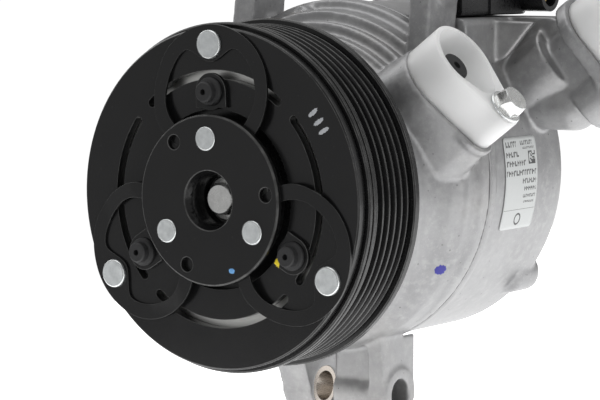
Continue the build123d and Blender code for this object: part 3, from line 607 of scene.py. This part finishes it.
def printed_marks():
    """Greeked lines, a code block, a divider and a ring: marks with no meaning."""
    rng = random.Random(SEED)
    verts = []
    faces = []

    def patch(corners):
        first = len(verts)
        for along, up in corners:
            verts.append(on_label(along, up, INK_LIFT))
        faces.append((first, first + 1, first + 2, first + 3))

    def bar(along, up, wide, tall):
        patch(((along, up), (along + wide, up), (along + wide, up + tall), (along, up + tall)))

    def text_line(start, end, up, tall):
        """Letter-like pairs: an upright stroke, and a short one at one of three heights."""
        at = start
        while at < end:
            wide = min(rng.uniform(0.5, 0.9) * tall, end - at)
            bar(at, up, wide * 0.42, tall)
            bar(at + wide * 0.5, up + rng.choice((0.0, tall * 0.42, tall * 0.72)), wide * 0.5, tall * 0.34)
            at += wide + tall * 0.22

    for start, end, drop, tall in TEXT_LINES:
        text_line(start, end, LABEL_TALL - drop, tall)
    for row in range(CODE_CELLS):
        for column in range(CODE_CELLS):
            if column == 0 or row == 0 or rng.random() < 0.5:
                bar(CODE_AT[0] + column * CODE_CELL, LABEL_TALL - CODE_AT[1] + row * CODE_CELL,
                    CODE_CELL, CODE_CELL)
    bar(DIVIDER_EDGE, DIVIDER_UP, LABEL_WIDE - 2 * DIVIDER_EDGE, DIVIDER_T)
    for spoke in range(RING_SPOKES):
        after = spoke + 1
        ends = ((spoke, RING_IN_R), (spoke, RING_OUT_R), (after, RING_OUT_R), (after, RING_IN_R))
        corners = []
        for turn, radius in ends:
            angle = 2.0 * math.pi * turn / RING_SPOKES
            corners.append((RING_AT[0] + radius * math.cos(angle), RING_AT[1] + radius * math.sin(angle)))
        patch(corners)
    mesh_piece("label_marks", verts, faces, printing_ink(), "housing")


label_sheet()
printed_marks()


# ---------------------------------------------------------------- paint marks
PLATE_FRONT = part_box("armature_plate")[0].y
HUB_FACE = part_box("clutch_hub")[0].y
BACKWARDS = (0.0, 1.0, 0.0)
DAB_SPOKES = 22
DAB_RINGS = (0.35, 0.7, 1.0)    # as shares of the dab's size
DAB_LIFT = 0.08 * MM
DAB_RIM_LIFT = 0.03 * MM
DRAPE_FROM = 0.03               # how far outside a dab's rays start
BLUE_DEG = -27.0                # round the head, from +X towards +Z
BLUE_AT_Y = 39.2 * MM
BLUE_OUT = 60.0 * MM
WHITE_TICKS = ((38.2, 29.7), (40.4, 26.9), (42.3, 24.1))    # X and Z, in millimetres


def draped(point, inward, targets):
    """A point moved along a line until it lies on the first of the pieces it meets."""
    hits = [target.ray_cast(point - inward * DRAPE_FROM, inward) for target in targets]
    return min((hit[1] for hit in hits if hit[0]), key=inward.dot)


def paint_dab(name, centre, inward, size, turn, mat, body, targets, seed):
    """A hand-dabbed spot of marking paint that follows the surfaces under it."""
    rng = random.Random(seed)
    inward = Vector(inward).normalized()
    side = inward.cross(Vector((0.0, 0.0, 1.0))).normalized()
    up = side.cross(inward)
    rim = [1.0 + 0.12 * math.sin(3 * k + seed) + rng.uniform(-0.07, 0.07) for k in range(DAB_SPOKES)]
    spreads = [(0.0, 0.0)]
    for ring in DAB_RINGS:
        for k in range(DAB_SPOKES):
            angle = 2.0 * math.pi * k / DAB_SPOKES
            wide = math.cos(angle) * ring * rim[k] * size[0] * 0.5
            tall = math.sin(angle) * ring * rim[k] * size[1] * 0.5
            spreads.append((wide * math.cos(turn) - tall * math.sin(turn),
                            wide * math.sin(turn) + tall * math.cos(turn)))
    inner = 1 + (len(DAB_RINGS) - 1) * DAB_SPOKES
    verts = []
    for index, (wide, tall) in enumerate(spreads):
        lift = DAB_LIFT if index < inner else DAB_RIM_LIFT
        verts.append(draped(Vector(centre) + side * wide + up * tall, inward, targets) - inward * lift)
    faces = []
    for k in range(DAB_SPOKES):
        follow = (k + 1) % DAB_SPOKES
        faces.append((0, 1 + k, 1 + follow))
        for ring in range(len(DAB_RINGS) - 1):
            low = 1 + ring * DAB_SPOKES
            faces.append((low + k, low + DAB_SPOKES + k, low + DAB_SPOKES + follow, low + follow))
    mesh_piece(name, verts, faces, mat, body)


def paint_marks():
    yellow = marker_paint("yellow_paint", (0.84, 0.62, 0.01), (0.96, 0.78, 0.03))
    blue = marker_paint("blue_paint", (0.016, 0.014, 0.20), (0.036, 0.032, 0.34))
    pale_blue = marker_paint("pale_blue_paint", (0.10, 0.32, 0.68), (0.22, 0.48, 0.82))
    white = marker_paint("white_paint", (0.36, 0.37, 0.40), (0.60, 0.62, 0.64))
    plate = [cad_object(name) for name in ("armature_plate_eased", "stopper_tabs_eased", "rubber_stoppers")]
    hub = [cad_object("clutch_hub_eased")]
    head = [cad_object("front_head_skin")]
    paint_dab("yellow_dab", (24.8 * MM, PLATE_FRONT, -18.9 * MM), BACKWARDS, (2.9 * MM, 3.3 * MM), 0.0,
              yellow, "armature", plate, 3)
    paint_dab("pale_blue_dab", (9.6 * MM, HUB_FACE, -22.3 * MM), BACKWARDS, (2.4 * MM, 1.7 * MM), 0.0,
              pale_blue, "drive_line", hub, 5)
    blue_in = Vector((-math.cos(math.radians(BLUE_DEG)), 0.0, -math.sin(math.radians(BLUE_DEG))))
    blue_at = Vector((0.0, BLUE_AT_Y, 0.0)) - blue_in * BLUE_OUT
    paint_dab("blue_dab", blue_at, blue_in, (4.2 * MM, 3.8 * MM), 0.3,
              blue, "housing", head, 8)
    for index, (x, z) in enumerate(WHITE_TICKS):
        paint_dab(f"white_dab_{index + 1}", (x * MM, PLATE_FRONT, z * MM), BACKWARDS, (4.4 * MM, 1.5 * MM),
                  math.atan2(z, x), white, "armature", plate, 11 + index)


paint_marks()


# ---------------------------------------------------------------- stage, light and camera
FLOOR_SIDE = 1.0
FLOOR_MIDDLE = (0.25, 0.40)     # so most of it is behind the part and on the ports' side
LAMP_TARGET = (0.0, 0.03, 0.0)  # the point that the lamps are turned to
SOFTBOXES = (                   # name, place, width, height, power
    ("top_box", (-0.15, -0.05, 0.9), 0.9, 0.9, 2.9),
    ("left_box", (-0.9, 0.1, 0.5), 0.5, 0.8, 2.0),
    ("right_box", (0.80, 0.60, 0.20), 0.6, 0.8, 0.42),
    ("edge_box", (0.78, -0.55, 0.10), 0.12, 0.7, 0.45),
)
WORLD_LIGHT = 0.46              # how bright the world is as a light
WORLD_SEEN = 1.05               # and to the camera
CAMERA_AT = Vector((0.50873, -0.68197, 0.08071))
CAMERA_BACK = Vector((0.57973, -0.80910, 0.09628))
CAMERA_RIGHT = Vector((0.8129, 0.5824, 0.0))
CAMERA_LENS = 154.8
CAMERA_SENSOR = 36.0


def stage_floor():
    bpy.ops.mesh.primitive_plane_add(size=FLOOR_SIDE, location=(*FLOOR_MIDDLE, cad_box[0][2]))
    floor = bpy.context.object
    floor.name = "floor"
    mat = new_material("pale_floor")
    paper = noise(mat, scale=30.0)
    base = blend_colour(mat, paper, (0.90, 0.90, 0.90), (0.93, 0.93, 0.93))
    setup(mat, base, 0.7, Emission_Color=colour(1.0, 1.0, 1.0), Emission_Strength=1.15)
    dress(floor, mat)


def softbox(name, place_at, width, height, power):
    lamp = bpy.data.lights.new(name, "AREA")
    lamp.shape = "RECTANGLE"
    lamp.size = width
    lamp.size_y = height
    lamp.energy = power
    obj = bpy.data.objects.new(name, lamp)
    bpy.context.scene.collection.objects.link(obj)
    obj.location = place_at
    obj.rotation_euler = (Vector(LAMP_TARGET) - Vector(place_at)).to_track_quat("-Z", "Y").to_euler()


def studio():
    """A world that is white to the camera and dimmer as a light, and the soft lamps."""
    world = bpy.data.worlds.new("studio")
    world.use_nodes = True
    backdrop = world.node_tree.nodes["Background"]
    backdrop.inputs["Color"].default_value = colour(1.0, 1.0, 1.0)
    rays = world.node_tree.nodes.new("ShaderNodeLightPath")
    seen = world.node_tree.nodes.new("ShaderNodeMapRange")
    seen.inputs["To Min"].default_value = WORLD_LIGHT
    seen.inputs["To Max"].default_value = WORLD_SEEN
    world.node_tree.links.new(rays.outputs["Is Camera Ray"], seen.inputs["Value"])
    world.node_tree.links.new(seen.outputs["Result"], backdrop.inputs["Strength"])
    bpy.context.scene.world = world
    for settings in SOFTBOXES:
        softbox(*settings)


def camera():
    data = bpy.data.cameras.new("camera")
    data.sensor_width = CAMERA_SENSOR
    data.lens = CAMERA_LENS
    data.clip_start = 0.01
    obj = bpy.data.objects.new("camera", data)
    bpy.context.scene.collection.objects.link(obj)
    back = CAMERA_BACK.normalized()
    right = CAMERA_RIGHT.normalized()
    turn = Matrix((right, back.cross(right), back)).transposed()
    obj.matrix_world = Matrix.Translation(CAMERA_AT) @ turn.to_4x4()
    bpy.context.scene.camera = obj
    bpy.context.scene.view_settings.view_transform = "Standard"


stage_floor()
studio()
camera()
